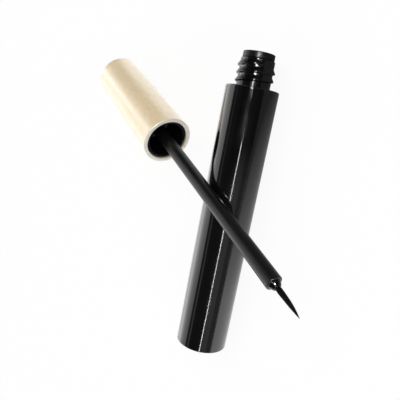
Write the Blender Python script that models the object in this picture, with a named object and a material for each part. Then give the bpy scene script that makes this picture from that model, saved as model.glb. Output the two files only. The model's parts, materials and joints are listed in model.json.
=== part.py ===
"""Liquid eyeliner bottle, opened and laid down, with its applicator resting across it.

Metres, +Z up. The origin is the centre of the bottle's base face and +X runs along the bottle to its
mouth. The bottle lies on its side. The applicator lies over it: the stem rests on the bottle, and the
edge of the cap's closed end rests on the table that the bottle lies on.
"""

import math

import bmesh
import bpy
from mathutils import Matrix, Vector

# Clearances between pieces
PRESS_GAP = 0.0002
TUBE_GAP = 0.00025
REST_GAP = 0.0003
THREAD_GAP = 0.00025
WIPE_GAP = 0.00012
BRUSH_GAP = 0.00015

# Stem, and the walls round it that add up to the bottle's radius of 7 mm
STEM_RADIUS = 0.00187
WIPER_LIP_REACH = 0.00091
WIPER_WALL = 0.0005
NECK_WALL = 0.00081
THREAD_DEPTH = 0.00056
LINER_WALL = 0.0007
CAP_WALL = 0.00088

# Bottle body: a glossy jacket round an inner vial, closed below by a plug
BODY_LENGTH = 0.0716
JACKET_WALL = 0.0008
SHOULDER_THICKNESS = 0.0008
SHOULDER_ROUND = 0.00045
FOOT_ROUND = 0.00030
PLUG_THICKNESS = 0.0012
PLUG_SKIRT_HEIGHT = 0.0020
PLUG_SKIRT_WALL = 0.0008

# Inner vial with its threaded neck
VIAL_WALL = 0.0009
VIAL_FLOOR = 0.0011
VIAL_CEILING = 0.0010
VIAL_ROUND = 0.0006
NECK_RISE = 0.0088
NECK_ROUND = 0.00015

# Thread on the neck, one start, with a steep lower flank
THREAD_PITCH = 0.00197
THREAD_CREST = 0.00018
THREAD_STEEP_FLANK = 0.00034
THREAD_SLOPING_FLANK = 0.00115
THREAD_BITE = 0.00010
THREAD_START = 0.00062
THREAD_PLAIN_BAND = 0.00130
THREAD_FADE_TURN = 0.22
THREAD_END_SHARE = 0.12
THREAD_STEPS_A_TURN = 32
THREAD_PHASE_TURN = 0.05

# Wiper pressed into the neck
COLLAR_HEIGHT = 0.00150
COLLAR_SETBACK = 0.00028
COLLAR_ROUND = 0.00020
WIPER_LENGTH = 0.0100
WIPER_STRAIGHT_LENGTH = 0.0062
WIPER_LIP_LENGTH = 0.0012
WIPER_LEAD = 0.00025

# Steel ball that stirs the ink
BALL_RADIUS = 0.0024

# Cap: a satin shell, a little wider at its mouth, over a threaded liner
CAP_LENGTH = 0.0393
CAP_FLARE = 0.00028
CAP_END_THICKNESS = 0.0009
CAP_END_ROUND = 0.00050
CAP_RIM_ROUND = 0.00025
LINER_RECESS = 0.0006
LINER_CEILING = 0.0014
LINER_MOUTH_LEAD = 0.00035
LINER_THREAD_START = 0.0014
LINER_THREAD_TURNS = 1.6
LINER_BOSS_WALL = 0.00083
LINER_FIN_THICKNESS = 0.0009
LINER_FIN_COUNT = 6
LINER_FIN_BITE = 0.0004
SOCKET_DEPTH = 0.0095
SEAL_THICKNESS = 0.0006

# Length of the stem, its barbed root, its flare to the end and its nose
STEM_REACH = 0.0549
STEM_FLARE_START = 0.0260
STEM_FLARE = 0.00016
STEM_END_ROUND = 0.00028
BARB_HEIGHT = 0.00010
BARB_PITCH = 0.0016
BARB_COUNT = 3
NOSE_LENGTH = 0.0012
NOSE_LEDGE = 0.00030
NOSE_TIP_WALL = 0.00025
NOSE_SAG_SHARE = 0.90
NOSE_STEPS = 4

# Brush: a tuft that swells out of the nose and comes to a point
BRUSH_ROOT_RADIUS = 0.00050
BRUSH_MOUTH_RADIUS = 0.00056
BRUSH_BELLY_RADIUS = 0.00070
BRUSH_SHOULDER_RADIUS = 0.00054
BRUSH_POINT_RADIUS = 0.00004
BRUSH_LENGTH = 0.0080
BRUSH_ROOT_DEPTH = 0.0042
BRUSH_SLICE = 0.0016
BRUSH_BELLY_SHARE = 0.10
BRUSH_SHOULDER_SHARE = 0.55
BRUSH_STAGGER_SHARE = 0.22
STRAND_COUNT = 300
STRAND_SIDES = 3
STRAND_FILL_SHARE = 0.36
STRAND_EDGE_SHARE = 0.95

# How the applicator lies on the bottle
CROSSING_FROM_BASE = 0.0434
CROSSING_FROM_RIM = 0.0246
APPLICATOR_YAW = math.radians(24.5)
TILT_ROUNDS = 20

# Facets
BODY_SIDES = 48
SLIM_SIDES = 32
SLICE_SIDES = 24
BALL_RINGS = 12
ROUND_STEPS = 3
SMOOTH_ANGLE = math.radians(35)
WELD = 0.000001

# Radii from the stem outwards, each fitted round the last
WIPER_ORIFICE = STEM_RADIUS + WIPE_GAP
WIPER_BORE = WIPER_ORIFICE + WIPER_LIP_REACH
WIPER_RADIUS = WIPER_BORE + WIPER_WALL
NECK_BORE = WIPER_RADIUS + PRESS_GAP
NECK_RADIUS = NECK_BORE + NECK_WALL
COLLAR_RADIUS = NECK_RADIUS - COLLAR_SETBACK
LINER_BORE = NECK_RADIUS + THREAD_DEPTH + THREAD_GAP
LINER_RADIUS = LINER_BORE + LINER_WALL
CAP_BORE = LINER_RADIUS + PRESS_GAP
CAP_RADIUS = CAP_BORE + CAP_WALL

# The bottle has the cap's radius, and its vial fits in the jacket
BODY_RADIUS = CAP_RADIUS
JACKET_BORE = BODY_RADIUS - JACKET_WALL
VIAL_RADIUS = JACKET_BORE - TUBE_GAP
VIAL_BORE = VIAL_RADIUS - VIAL_WALL

# Radii of the stem's socket, nose and brush hole
SOCKET_RADIUS = STEM_RADIUS + BARB_HEIGHT + PRESS_GAP
LINER_BOSS_RADIUS = SOCKET_RADIUS + LINER_BOSS_WALL
BRUSH_HOLE_RADIUS = BRUSH_ROOT_RADIUS + BRUSH_GAP
NOSE_TIP_RADIUS = BRUSH_HOLE_RADIUS + NOSE_TIP_WALL
NOSE_FOOT_RADIUS = STEM_RADIUS - NOSE_LEDGE

# Heights along the bottle, from its base face
PLUG_TOP = PLUG_THICKNESS + PLUG_SKIRT_HEIGHT
VIAL_FOOT = PLUG_TOP + PRESS_GAP
VIAL_TOP = BODY_LENGTH - SHOULDER_THICKNESS - PRESS_GAP
MOUTH_HEIGHT = BODY_LENGTH + NECK_RISE
NECK_TOP = MOUTH_HEIGHT - COLLAR_HEIGHT - PRESS_GAP

# Places along the applicator, from the cap's rim, positive towards the brush
CAP_CEILING = CAP_END_THICKNESS - CAP_LENGTH
SEAL_PLACE = -NECK_RISE - PRESS_GAP
LINER_CEILING_PLACE = SEAL_PLACE - SEAL_THICKNESS - PRESS_GAP
LINER_BACK = LINER_CEILING_PLACE - LINER_CEILING
LINER_END = CAP_CEILING + PRESS_GAP
SOCKET_END = LINER_CEILING_PLACE - SOCKET_DEPTH
NOSE_END = STEM_REACH + NOSE_LENGTH
BRUSH_TIP = NOSE_END + BRUSH_LENGTH
BRUSH_HOLE_END = NOSE_END - BRUSH_ROOT_DEPTH


def finish(name, color, roughness, metallic=0.0):
    """A plain Principled material."""
    material = bpy.data.materials.new(name)
    material.use_nodes = True
    shader = material.node_tree.nodes["Principled BSDF"]
    shader.inputs["Base Color"].default_value = (*color, 1.0)
    shader.inputs["Roughness"].default_value = roughness
    shader.inputs["Metallic"].default_value = metallic
    material.diffuse_color = (*color, 1.0)
    return material


def corner_arc(before, corner, after, radius):
    """Points of the arc that rounds one corner of an outline."""
    corner = Vector(corner)
    back = (Vector(before) - corner).normalized()
    ahead = (Vector(after) - corner).normalized()
    half = back.angle(ahead) / 2
    run = min(radius / math.tan(half), (Vector(before) - corner).length, (Vector(after) - corner).length)
    bisector = (back + ahead).normalized()
    centre = corner + bisector * (run / math.cos(half))
    start = (corner + back * run - centre).normalized()
    end = (corner + ahead * run - centre).normalized()
    reach = run * math.tan(half)
    return [centre + start.slerp(end, step / ROUND_STEPS) * reach for step in range(ROUND_STEPS + 1)]


def rounded(corners):
    """An outline of (radius, height) points from corners that may carry a rounding as a third value."""
    points = []
    for index, corner in enumerate(corners):
        here = corner[:2]
        if len(corner) == 3:
            before = corners[index - 1][:2]
            after = corners[(index + 1) % len(corners)][:2]
            points += [tuple(point) for point in corner_arc(before, here, after, corner[2])]
        else:
            points.append(here)
    return points


def add_object(name, mesh_builder, parent, material):
    """Turn a bmesh into a smooth shaded object under its parent."""
    bmesh.ops.remove_doubles(mesh_builder, verts=mesh_builder.verts, dist=WELD)
    bmesh.ops.recalc_face_normals(mesh_builder, faces=mesh_builder.faces)
    mesh = bpy.data.meshes.new(name)
    mesh_builder.to_mesh(mesh)
    mesh_builder.free()
    mesh.shade_smooth()
    mesh.set_sharp_from_angle(angle=SMOOTH_ANGLE)
    mesh.materials.append(material)
    piece = bpy.data.objects.new(name, mesh)
    piece.parent = parent
    bpy.context.collection.objects.link(piece)
    return piece


def turned(name, points, parent, material, sides):
    """Spin an outline of (radius, height) points round the parent's Z axis."""
    builder = bmesh.new()
    verts = [builder.verts.new((radius, 0, height)) for radius, height in points]
    edges = []
    for index, vert in enumerate(verts):
        following = verts[(index + 1) % len(verts)]
        if vert.co.x > 0 or following.co.x > 0:
            edges.append(builder.edges.new((vert, following)))
    bmesh.ops.spin(
        builder,
        geom=verts + edges,
        cent=(0, 0, 0),
        axis=(0, 0, 1),
        angle=math.tau,
        steps=sides,
        use_merge=True,
        use_duplicate=False,
    )
    return add_object(name, builder, parent, material)


def helper(piece):
    """Mark a shape that only serves a Boolean."""
    piece.hide_render = True
    piece.display_type = "WIRE"
    return piece


def join_with(piece, other, operation):
    """Join or cut a piece with a helper shape."""
    modifier = piece.modifiers.new(operation.title(), "BOOLEAN")
    modifier.operation = operation
    modifier.solver = "EXACT"
    modifier.object = helper(other)


def thread_ridge(name, wall_radius, depth, start, turns, parent, material):
    """A helical ridge on a round wall. Positive depth stands outwards, negative depth inwards.

    The ridge's foot is sunk into the wall, and both ends fade into it.
    """
    outwards = math.copysign(1, depth)
    foot_radius = wall_radius - outwards * THREAD_BITE
    steps = round(turns * THREAD_STEPS_A_TURN)
    fade_steps = THREAD_FADE_TURN * THREAD_STEPS_A_TURN
    builder = bmesh.new()
    sections = []
    for step in range(steps + 1):
        turn = THREAD_PHASE_TURN + step / THREAD_STEPS_A_TURN
        height = start + THREAD_PITCH * step / THREAD_STEPS_A_TURN
        fade = min(1, step / fade_steps, (steps - step) / fade_steps)
        rise_share = THREAD_END_SHARE + (1 - THREAD_END_SHARE) * math.sin(fade * math.pi / 2)
        crest_radius = foot_radius + (depth + outwards * THREAD_BITE) * rise_share
        section = [
            (foot_radius, -THREAD_STEEP_FLANK),
            (crest_radius, 0),
            (crest_radius, THREAD_CREST),
            (foot_radius, THREAD_CREST + THREAD_SLOPING_FLANK),
        ]
        angle = math.tau * turn
        sections.append(
            [
                builder.verts.new((radius * math.cos(angle), radius * math.sin(angle), height + rise))
                for radius, rise in section
            ]
        )
    for section, following in zip(sections, sections[1:]):
        for index, vert in enumerate(section):
            across = (index + 1) % len(section)
            builder.faces.new((vert, section[across], following[across], following[index]))
    builder.faces.new(sections[0])
    builder.faces.new(sections[-1])
    return add_object(name, builder, parent, material)


def jacket(parent, material):
    """The glossy outer tube, with the shoulder that the neck comes through."""
    hole = NECK_RADIUS + PRESS_GAP
    points = rounded(
        [
            (JACKET_BORE, 0),
            (BODY_RADIUS, 0, FOOT_ROUND),
            (BODY_RADIUS, BODY_LENGTH, SHOULDER_ROUND),
            (hole, BODY_LENGTH),
            (hole, BODY_LENGTH - SHOULDER_THICKNESS),
            (JACKET_BORE, BODY_LENGTH - SHOULDER_THICKNESS),
        ]
    )
    return turned("bottle_jacket", points, parent, material, BODY_SIDES)


def base_plug(parent, material):
    """The plug that closes the jacket's foot and carries the vial."""
    radius = JACKET_BORE - PRESS_GAP
    skirt_bore = radius - PLUG_SKIRT_WALL
    points = [
        (0, 0),
        (radius, 0),
        (radius, PLUG_TOP),
        (skirt_bore, PLUG_TOP),
        (skirt_bore, PLUG_THICKNESS),
        (0, PLUG_THICKNESS),
    ]
    return turned("base_plug", points, parent, material, BODY_SIDES)


def vial(parent, material):
    """The inner vial: the ink chamber, and the neck with its thread."""
    floor = VIAL_FOOT + VIAL_FLOOR
    ceiling = VIAL_TOP - VIAL_CEILING
    points = rounded(
        [
            (0, VIAL_FOOT),
            (VIAL_RADIUS, VIAL_FOOT, VIAL_ROUND),
            (VIAL_RADIUS, VIAL_TOP),
            (NECK_RADIUS, VIAL_TOP),
            (NECK_RADIUS, NECK_TOP, NECK_ROUND),
            (NECK_BORE, NECK_TOP),
            (NECK_BORE, ceiling),
            (VIAL_BORE, ceiling - (VIAL_BORE - NECK_BORE)),
            (VIAL_BORE, floor, VIAL_ROUND),
            (0, floor),
        ]
    )
    piece = turned("inner_vial", points, parent, material, BODY_SIDES)
    start = BODY_LENGTH + THREAD_START
    room = NECK_TOP - THREAD_PLAIN_BAND - start
    turns = room / THREAD_PITCH
    join_with(
        piece, thread_ridge("neck_thread", NECK_RADIUS, THREAD_DEPTH, start, turns, parent, material), "UNION"
    )
    return piece


def wiper(parent, material):
    """The soft insert whose lip strips the stem. Its collar lies on the top of the neck."""
    under_collar = MOUTH_HEIGHT - COLLAR_HEIGHT
    straight_end = MOUTH_HEIGHT - WIPER_STRAIGHT_LENGTH
    lip_end = MOUTH_HEIGHT - WIPER_LENGTH
    lip_start = lip_end + WIPER_LIP_LENGTH
    points = rounded(
        [
            (WIPER_BORE, straight_end),
            (WIPER_ORIFICE, lip_start),
            (WIPER_ORIFICE, lip_end),
            (WIPER_ORIFICE + WIPER_WALL, lip_end),
            (WIPER_ORIFICE + WIPER_WALL, lip_start),
            (WIPER_RADIUS, straight_end),
            (WIPER_RADIUS, under_collar),
            (COLLAR_RADIUS, under_collar),
            (COLLAR_RADIUS, MOUTH_HEIGHT, COLLAR_ROUND),
            (WIPER_BORE + WIPER_LEAD, MOUTH_HEIGHT),
            (WIPER_BORE, MOUTH_HEIGHT - WIPER_LEAD),
        ]
    )
    return turned("wiper", points, parent, material, BODY_SIDES)


def mixing_ball(parent, material):
    """The loose steel ball, at the chamber's floor end, lying on the chamber's lower side."""
    builder = bmesh.new()
    bmesh.ops.create_uvsphere(
        builder, u_segments=2 * BALL_RINGS, v_segments=BALL_RINGS, radius=BALL_RADIUS
    )
    piece = add_object("mixing_ball", builder, parent, material)
    height = VIAL_FOOT + VIAL_FLOOR + REST_GAP + BALL_RADIUS
    drop = VIAL_BORE - PRESS_GAP - BALL_RADIUS
    piece.location = (drop, 0, height)
    return piece


def cap_shell(parent, material):
    """The satin outer cap, one drawn cup."""
    points = rounded(
        [
            (0, -CAP_LENGTH),
            (CAP_RADIUS, -CAP_LENGTH, CAP_END_ROUND),
            (CAP_RADIUS + CAP_FLARE, 0, CAP_RIM_ROUND),
            (CAP_BORE, 0, CAP_RIM_ROUND),
            (CAP_BORE, CAP_CEILING),
            (0, CAP_CEILING),
        ]
    )
    return turned("cap_shell", points, parent, material, BODY_SIDES)


def liner_fins(parent, material):
    """The fins that centre the liner's long boss in the shell."""
    inner = LINER_BOSS_RADIUS - LINER_FIN_BITE
    length = LINER_BACK + LINER_FIN_BITE - LINER_END
    middle = LINER_END + length / 2
    corner_slack = LINER_RADIUS - math.sqrt(LINER_RADIUS**2 - (LINER_FIN_THICKNESS / 2) ** 2)
    width = LINER_RADIUS - corner_slack - inner
    builder = bmesh.new()
    for index in range(LINER_FIN_COUNT):
        turn = Matrix.Rotation(math.tau * index / LINER_FIN_COUNT, 4, "Z")
        place = Matrix.Translation((inner + width / 2, 0, middle))
        size = Matrix.Diagonal((width, LINER_FIN_THICKNESS, length, 1))
        bmesh.ops.create_cube(builder, size=1, matrix=turn @ place @ size)
    return add_object("liner_fins", builder, parent, material)


def cap_liner(parent, material):
    """The threaded inner cap. Its boss holds the stem and reaches back through the shell."""
    rim = -LINER_RECESS
    points = [
        (0, LINER_END),
        (LINER_BOSS_RADIUS, LINER_END),
        (LINER_BOSS_RADIUS, LINER_BACK),
        (LINER_RADIUS, LINER_BACK),
        (LINER_RADIUS, rim),
        (LINER_BORE + LINER_MOUTH_LEAD, rim),
        (LINER_BORE, rim - LINER_MOUTH_LEAD),
        (LINER_BORE, LINER_CEILING_PLACE),
        (SOCKET_RADIUS, LINER_CEILING_PLACE),
        (SOCKET_RADIUS, SOCKET_END),
        (0, SOCKET_END),
    ]
    piece = turned("cap_liner", points, parent, material, BODY_SIDES)
    depth = NECK_RADIUS + THREAD_GAP - LINER_BORE
    start = rim - LINER_THREAD_START - LINER_THREAD_TURNS * THREAD_PITCH
    ridge = thread_ridge("liner_thread", LINER_BORE, depth, start, LINER_THREAD_TURNS, parent, material)
    join_with(piece, liner_fins(parent, material), "UNION")
    join_with(piece, ridge, "UNION")
    return piece


def seal_washer(parent, material):
    """The soft ring in the liner that closes on the wiper's collar."""
    inner = STEM_RADIUS + PRESS_GAP
    outer = LINER_BORE - THREAD_DEPTH - THREAD_GAP
    points = [
        (inner, SEAL_PLACE - SEAL_THICKNESS),
        (outer, SEAL_PLACE - SEAL_THICKNESS),
        (outer, SEAL_PLACE),
        (inner, SEAL_PLACE),
    ]
    return turned("seal_washer", points, parent, material, BODY_SIDES)


def stem(parent, material):
    """The rod: barbs at its root, a rounded end, and a hollow flank nose that grips the brush."""
    root = SOCKET_END + PRESS_GAP
    points = [(0, root), (STEM_RADIUS - BARB_HEIGHT, root)]
    for index in range(BARB_COUNT):
        foot = root + BARB_PITCH * (index + 1)
        points.append((STEM_RADIUS + BARB_HEIGHT, foot))
        points.append((STEM_RADIUS, foot))
    points.append((STEM_RADIUS, STEM_FLARE_START))
    shoulder = (STEM_RADIUS + STEM_FLARE, STEM_REACH)
    nose_foot = (NOSE_FOOT_RADIUS, STEM_REACH)
    points += [tuple(point) for point in corner_arc(points[-1], shoulder, nose_foot, STEM_END_ROUND)]
    for step in range(NOSE_STEPS + 1):
        share = step / NOSE_STEPS
        narrowing = (1 - share) ** (1 / NOSE_SAG_SHARE)
        radius = NOSE_TIP_RADIUS + (NOSE_FOOT_RADIUS - NOSE_TIP_RADIUS) * narrowing
        points.append((radius, STEM_REACH + NOSE_LENGTH * share))
    points += [(BRUSH_HOLE_RADIUS, NOSE_END), (BRUSH_HOLE_RADIUS, BRUSH_HOLE_END), (0, BRUSH_HOLE_END)]
    return turned("stem", points, parent, material, SLIM_SIDES)


def strand_places():
    """Even places for the strands over the slice, as (x, y) at the root."""
    golden_turn = math.pi * (3 - math.sqrt(5))
    field = BRUSH_ROOT_RADIUS * STRAND_EDGE_SHARE
    places = []
    for index in range(STRAND_COUNT):
        radius = field * math.sqrt((index + 0.5) / (STRAND_COUNT + 1))
        angle = index * golden_turn
        places.append((radius * math.cos(angle), radius * math.sin(angle), angle))
    return places


def add_strand(builder, place, levels):
    """One strand from its three corners on the slice to its own point, and those root edges."""
    x, y, angle = place
    spacing = BRUSH_ROOT_RADIUS * math.sqrt(math.pi / STRAND_COUNT)
    thickness = spacing * STRAND_FILL_SHARE
    outward_share = math.hypot(x, y) / BRUSH_ROOT_RADIUS
    rings = []
    for height, radius in levels[:-1]:
        swell = radius / BRUSH_ROOT_RADIUS
        ring = []
        for side in range(STRAND_SIDES):
            turn = angle + math.tau * side / STRAND_SIDES
            corner = (
                (x + thickness * math.cos(turn)) * swell,
                (y + thickness * math.sin(turn)) * swell,
                height,
            )
            ring.append(builder.verts.new(corner))
        rings.append(ring)
    shoulder_height, shoulder_radius = levels[-2]
    point_height, point_radius = levels[-1]
    end_share = 1 - BRUSH_STAGGER_SHARE * outward_share**2
    end_height = shoulder_height + (point_height - shoulder_height) * end_share
    swell = (shoulder_radius + (point_radius - shoulder_radius) * end_share) / BRUSH_ROOT_RADIUS
    point = builder.verts.new((x * swell, y * swell, end_height))
    for ring, following in zip(rings, rings[1:]):
        for side in range(STRAND_SIDES):
            across = (side + 1) % STRAND_SIDES
            builder.faces.new((ring[side], ring[across], following[across], following[side]))
    last = rings[-1]
    for side in range(STRAND_SIDES):
        builder.faces.new((last[side], last[(side + 1) % STRAND_SIDES], point))
    root = rings[0]
    return [builder.edges.get((root[side], root[(side + 1) % STRAND_SIDES])) for side in range(STRAND_SIDES)]


def brush_tuft(parent, material):
    """Strands fused to a slice of melted root. The slice's face is filled round their roots."""
    back = BRUSH_HOLE_END + BRUSH_GAP
    front = back + BRUSH_SLICE
    builder = bmesh.new()
    disc = bmesh.ops.create_circle(
        builder,
        cap_ends=True,
        segments=SLICE_SIDES,
        radius=BRUSH_ROOT_RADIUS,
        matrix=Matrix.Translation((0, 0, back)),
    )
    disc_edges = list({edge for vert in disc["verts"] for edge in vert.link_edges})
    wall = bmesh.ops.extrude_edge_only(builder, edges=disc_edges)["geom"]
    rim = [item for item in wall if isinstance(item, bmesh.types.BMVert)]
    bmesh.ops.translate(builder, verts=rim, vec=(0, 0, front - back))
    fill_edges = [item for item in wall if isinstance(item, bmesh.types.BMEdge)]
    fill_edges = [edge for edge in fill_edges if all(vert in rim for vert in edge.verts)]
    levels = [
        (front, BRUSH_ROOT_RADIUS),
        (NOSE_END, BRUSH_MOUTH_RADIUS),
        (NOSE_END + BRUSH_LENGTH * BRUSH_BELLY_SHARE, BRUSH_BELLY_RADIUS),
        (NOSE_END + BRUSH_LENGTH * BRUSH_SHOULDER_SHARE, BRUSH_SHOULDER_RADIUS),
        (BRUSH_TIP, BRUSH_POINT_RADIUS),
    ]
    for place in strand_places():
        fill_edges += add_strand(builder, place, levels)
    bmesh.ops.triangle_fill(builder, use_beauty=True, use_dissolve=False, edges=fill_edges, normal=(0, 0, 1))
    return add_object("brush_tuft", builder, parent, material)


def applicator_direction(tilt):
    """Unit vector from the cap to the brush at a tilt above the table."""
    return Vector(
        (
            -math.sin(APPLICATOR_YAW) * math.cos(tilt),
            -math.cos(APPLICATOR_YAW) * math.cos(tilt),
            math.sin(tilt),
        )
    )


def crossing_height(tilt):
    """Height of the applicator's axis above the bottle's axis where they cross, the stem just clear."""
    direction = applicator_direction(tilt)
    reach = BODY_RADIUS + REST_GAP + STEM_RADIUS
    return reach * math.hypot(direction.y, direction.z) / abs(direction.y)


def resting_tilt():
    """The tilt at which the rounded edge of the cap's closed end touches the table."""
    edge_from_crossing = CROSSING_FROM_RIM + CAP_LENGTH - CAP_END_ROUND
    tilt = 0
    for _ in range(TILT_ROUNDS):
        axis_height = BODY_RADIUS + crossing_height(tilt)
        edge_height = (CAP_RADIUS - CAP_END_ROUND) * math.cos(tilt) + CAP_END_ROUND
        tilt = math.asin((axis_height - edge_height) / edge_from_crossing)
    return tilt


def bottle_axis():
    """An empty whose Z runs along the bottle, from its base face."""
    axis = bpy.data.objects.new("bottle_axis", None)
    axis.rotation_euler = (0, math.pi / 2, 0)
    bpy.context.collection.objects.link(axis)
    return axis


def applicator_axis():
    """An empty at the middle of the cap's rim whose Z points to the brush."""
    tilt = resting_tilt()
    direction = applicator_direction(tilt)
    crossing = Vector((CROSSING_FROM_BASE, 0, crossing_height(tilt)))
    sideways = Vector((math.cos(APPLICATOR_YAW), -math.sin(APPLICATOR_YAW), 0))
    turn = Matrix((sideways, direction.cross(sideways), direction)).transposed()
    axis = bpy.data.objects.new("applicator_axis", None)
    axis.matrix_world = Matrix.Translation(crossing - direction * CROSSING_FROM_RIM) @ turn.to_4x4()
    bpy.context.collection.objects.link(axis)
    return axis


def build():
    """Model every piece."""
    for old in list(bpy.data.objects):
        bpy.data.objects.remove(old)

    gloss_black = finish("gloss_black", (0.012, 0.012, 0.013), 0.12)
    moulded_black = finish("moulded_black", (0.014, 0.014, 0.015), 0.28)
    satin_black = finish("satin_black", (0.020, 0.020, 0.021), 0.42)
    soft_black = finish("soft_black", (0.018, 0.018, 0.018), 0.50)
    inked_black = finish("inked_black", (0.006, 0.006, 0.007), 0.22)
    champagne = finish("champagne", (0.80, 0.70, 0.54), 0.36, 0.85)
    steel = finish("steel", (0.62, 0.62, 0.63), 0.18, 1.0)
    foam = finish("foam", (0.045, 0.045, 0.046), 0.80)

    bottle = bottle_axis()
    jacket(bottle, gloss_black)
    base_plug(bottle, moulded_black)
    vial(bottle, moulded_black)
    wiper(bottle, soft_black)
    mixing_ball(bottle, steel)

    applicator = applicator_axis()
    cap_shell(applicator, champagne)
    cap_liner(applicator, moulded_black)
    seal_washer(applicator, foam)
    stem(applicator, satin_black)
    brush_tuft(applicator, inked_black)


build()
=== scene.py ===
# %% [markdown]
# This lesson dresses a liquid eyeliner that has been opened and laid down. The black bottle lies
# on its side, and the applicator, a champagne cap with a long black stem and a fine brush, lies
# across it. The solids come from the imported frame. Each of them is plain, so a smoother piece
# takes its place here.

# %% Load the frame
import json
import math
import random

import bmesh
import bpy
from mathutils import Matrix, Quaternion, Vector


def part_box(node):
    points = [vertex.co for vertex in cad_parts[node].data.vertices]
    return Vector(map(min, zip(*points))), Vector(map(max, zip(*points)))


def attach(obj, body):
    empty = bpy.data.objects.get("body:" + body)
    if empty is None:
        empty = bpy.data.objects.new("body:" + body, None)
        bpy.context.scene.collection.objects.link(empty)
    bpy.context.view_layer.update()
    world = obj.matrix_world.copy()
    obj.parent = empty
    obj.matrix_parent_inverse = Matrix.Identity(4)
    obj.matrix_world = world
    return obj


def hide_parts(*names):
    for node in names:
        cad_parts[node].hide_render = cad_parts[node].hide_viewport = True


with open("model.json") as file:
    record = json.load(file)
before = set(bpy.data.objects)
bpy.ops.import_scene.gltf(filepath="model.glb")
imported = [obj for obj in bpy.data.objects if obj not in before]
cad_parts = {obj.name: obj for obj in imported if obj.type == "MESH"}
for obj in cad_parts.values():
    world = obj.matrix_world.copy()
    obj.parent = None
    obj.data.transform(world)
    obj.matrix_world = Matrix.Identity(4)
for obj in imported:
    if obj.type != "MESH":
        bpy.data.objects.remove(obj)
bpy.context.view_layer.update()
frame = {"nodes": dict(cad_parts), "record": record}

print("nodes:", sorted(frame["nodes"]))

# %% [markdown]
# The camera comes first, because everything after it is judged through it. It looks down on the
# table from beside the bottle, and it is rolled by about a quarter turn, so that the bottle stands
# nearly upright in the picture. An angle round the object, a height above it, a distance and a
# roll say this more plainly than a matrix would.

# %% Camera
CAMERA_TARGET = Vector((0.038915, 0.010566, 0.0))
CAMERA_DISTANCE = 0.129045
CAMERA_AZIMUTH = math.radians(16.08)
CAMERA_ELEVATION = math.radians(46.90)
CAMERA_ROLL = math.radians(-91.05)
CAMERA_LENS = 40.53
CAMERA_SENSOR = 36.0
CAMERA_NEAR = 0.005
CAMERA_FAR = 20.0


def direction_at(azimuth, elevation):
    """Unit vector from the object towards an azimuth and elevation, as a person walks round it."""
    flat = math.cos(elevation)
    return Vector((math.sin(azimuth) * flat, -math.cos(azimuth) * flat, math.sin(elevation)))


towards_camera = direction_at(CAMERA_AZIMUTH, CAMERA_ELEVATION)
camera_data = bpy.data.cameras.new("camera")
camera_data.lens = CAMERA_LENS
camera_data.sensor_width = CAMERA_SENSOR
camera_data.clip_start = CAMERA_NEAR
camera_data.clip_end = CAMERA_FAR
camera = bpy.data.objects.new("camera", camera_data)
bpy.context.scene.collection.objects.link(camera)
level_turn = (-towards_camera).to_track_quat("-Z", "Y")
camera.rotation_mode = "QUATERNION"
camera.rotation_quaternion = level_turn @ Quaternion((0, 0, 1), CAMERA_ROLL)
camera.location = CAMERA_TARGET + towards_camera * CAMERA_DISTANCE
bpy.context.scene.camera = camera
bpy.context.scene.view_settings.view_transform = "Standard"
print("camera at", [round(value, 4) for value in camera.location])
image_up = camera.rotation_quaternion @ Vector((0, 1, 0))
print("image up", [round(value, 4) for value in image_up])

# %% [markdown]
# Nearly every piece is turned: it is round about one of two axes. So each is drawn upright about
# the Z axis and then carried to its place by one matrix. The bottle's axis is the world's X. The
# applicator's axis comes from the frame, which names the middle of the cap's closed end and the
# way it faces.

# %% The two axes
CAP_LENGTH = 0.0393
bottle_place = Matrix.Rotation(math.pi / 2, 4, "Y")
mounts = {mount["name"]: mount for mount in frame["record"]["mounts"]}
to_brush = -Vector(mounts["cap_end"]["axis"]).normalized()
rim_centre = Vector(mounts["cap_end"]["pos_m"]) + to_brush * CAP_LENGTH
sideways = Vector((0, 0, 1)).cross(to_brush).normalized()
applicator_turn = Matrix((sideways, to_brush.cross(sideways), to_brush)).transposed().to_4x4()
applicator_place = Matrix.Translation(rim_centre) @ applicator_turn
print("applicator tilt", round(math.degrees(math.asin(to_brush.z)), 2), "degrees")

# %% [markdown]
# A turned piece starts as a chain of corners, half of its section. Corners that the real moulding
# rounds off carry a radius and are bevelled while the chain is still flat. Spinning the chain
# makes the piece. Weighted normals keep the long walls straight in reflections, where plain smooth
# shading would bend them towards the small rounds.

# %% Helpers for turned pieces
WELD = 0.000001
SHARP_ANGLE = math.radians(40)
ROUND_STEPS = 5


def round_off(builder, verts, radius, steps):
    """Round corners of a flat section."""
    bmesh.ops.bevel(
        builder,
        geom=verts,
        offset=radius,
        offset_type="OFFSET",
        segments=steps,
        profile=0.5,
        affect="VERTICES",
        material=-1,
    )


def draw_outline(builder, corners):
    """A chain of corners (radius, height) or (radius, height, rounding), open on the axis."""
    verts = [builder.verts.new((corner[0], 0, corner[1])) for corner in corners]
    for here, there in zip(verts, verts[1:] + verts[:1]):
        if here.co.x > 0 or there.co.x > 0:
            builder.edges.new((here, there))
    for vert, corner in zip(verts, corners):
        if len(corner) == 3:
            round_off(builder, [vert], corner[2], ROUND_STEPS)


def finished(name, builder, place):
    """Turn a bmesh drawn upright into an object in its place, closed and facing out."""
    bmesh.ops.remove_doubles(builder, verts=builder.verts, dist=WELD)
    bmesh.ops.recalc_face_normals(builder, faces=builder.faces)
    bmesh.ops.transform(builder, matrix=place, verts=builder.verts)
    mesh = bpy.data.meshes.new(name)
    builder.to_mesh(mesh)
    builder.free()
    piece = bpy.data.objects.new(name, mesh)
    bpy.context.scene.collection.objects.link(piece)
    return piece


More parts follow.
